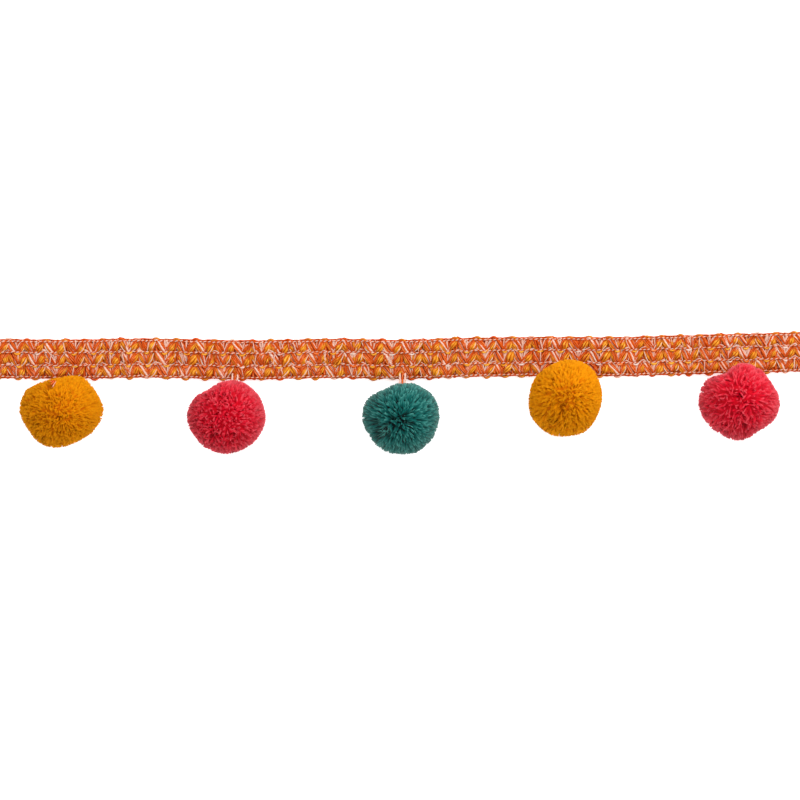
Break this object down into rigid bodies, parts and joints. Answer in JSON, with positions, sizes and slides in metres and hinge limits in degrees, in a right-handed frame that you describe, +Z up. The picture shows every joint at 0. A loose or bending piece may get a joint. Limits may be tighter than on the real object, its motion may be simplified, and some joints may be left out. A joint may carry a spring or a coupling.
{
  "type": "length of pompom trim",
  "caption": "Cut length of knitted braid band with cut-yarn pompoms tied along its lower edge, for sewing round a hem.",
  "frame": {"origin": "on the surface that the trim lies on, under the middle of the trim's box", "axes": "+X along the band, +Y across it from the pompoms towards the band's free edge, +Z up off the surface"},
  "size_m": [0.33, 0.0486, 0.0283],
  "materials": {
    "braid_yarn": "matt, coral, mustard and pale pink yarns",
    "mustard_yarn": "matt, soft cut pile",
    "pink_yarn": "matt, soft cut pile",
    "teal_yarn": "matt, soft cut pile",
    "tie_thread": "matt, coral and pale pink threads"
  },
  "bodies": {
    "root": {"band": "braid_yarn", "pompom_mustard_left": "mustard_yarn", "pompom_pink_left": "pink_yarn", "pompom_teal": "teal_yarn", "pompom_mustard_right": "mustard_yarn", "pompom_pink_right": "pink_yarn", "tie_mustard_left": "tie_thread", "tie_pink_left": "tie_thread", "tie_teal": "tie_thread", "tie_mustard_right": "tie_thread", "tie_pink_right": "tie_thread"}
  },
  "joints": []
}
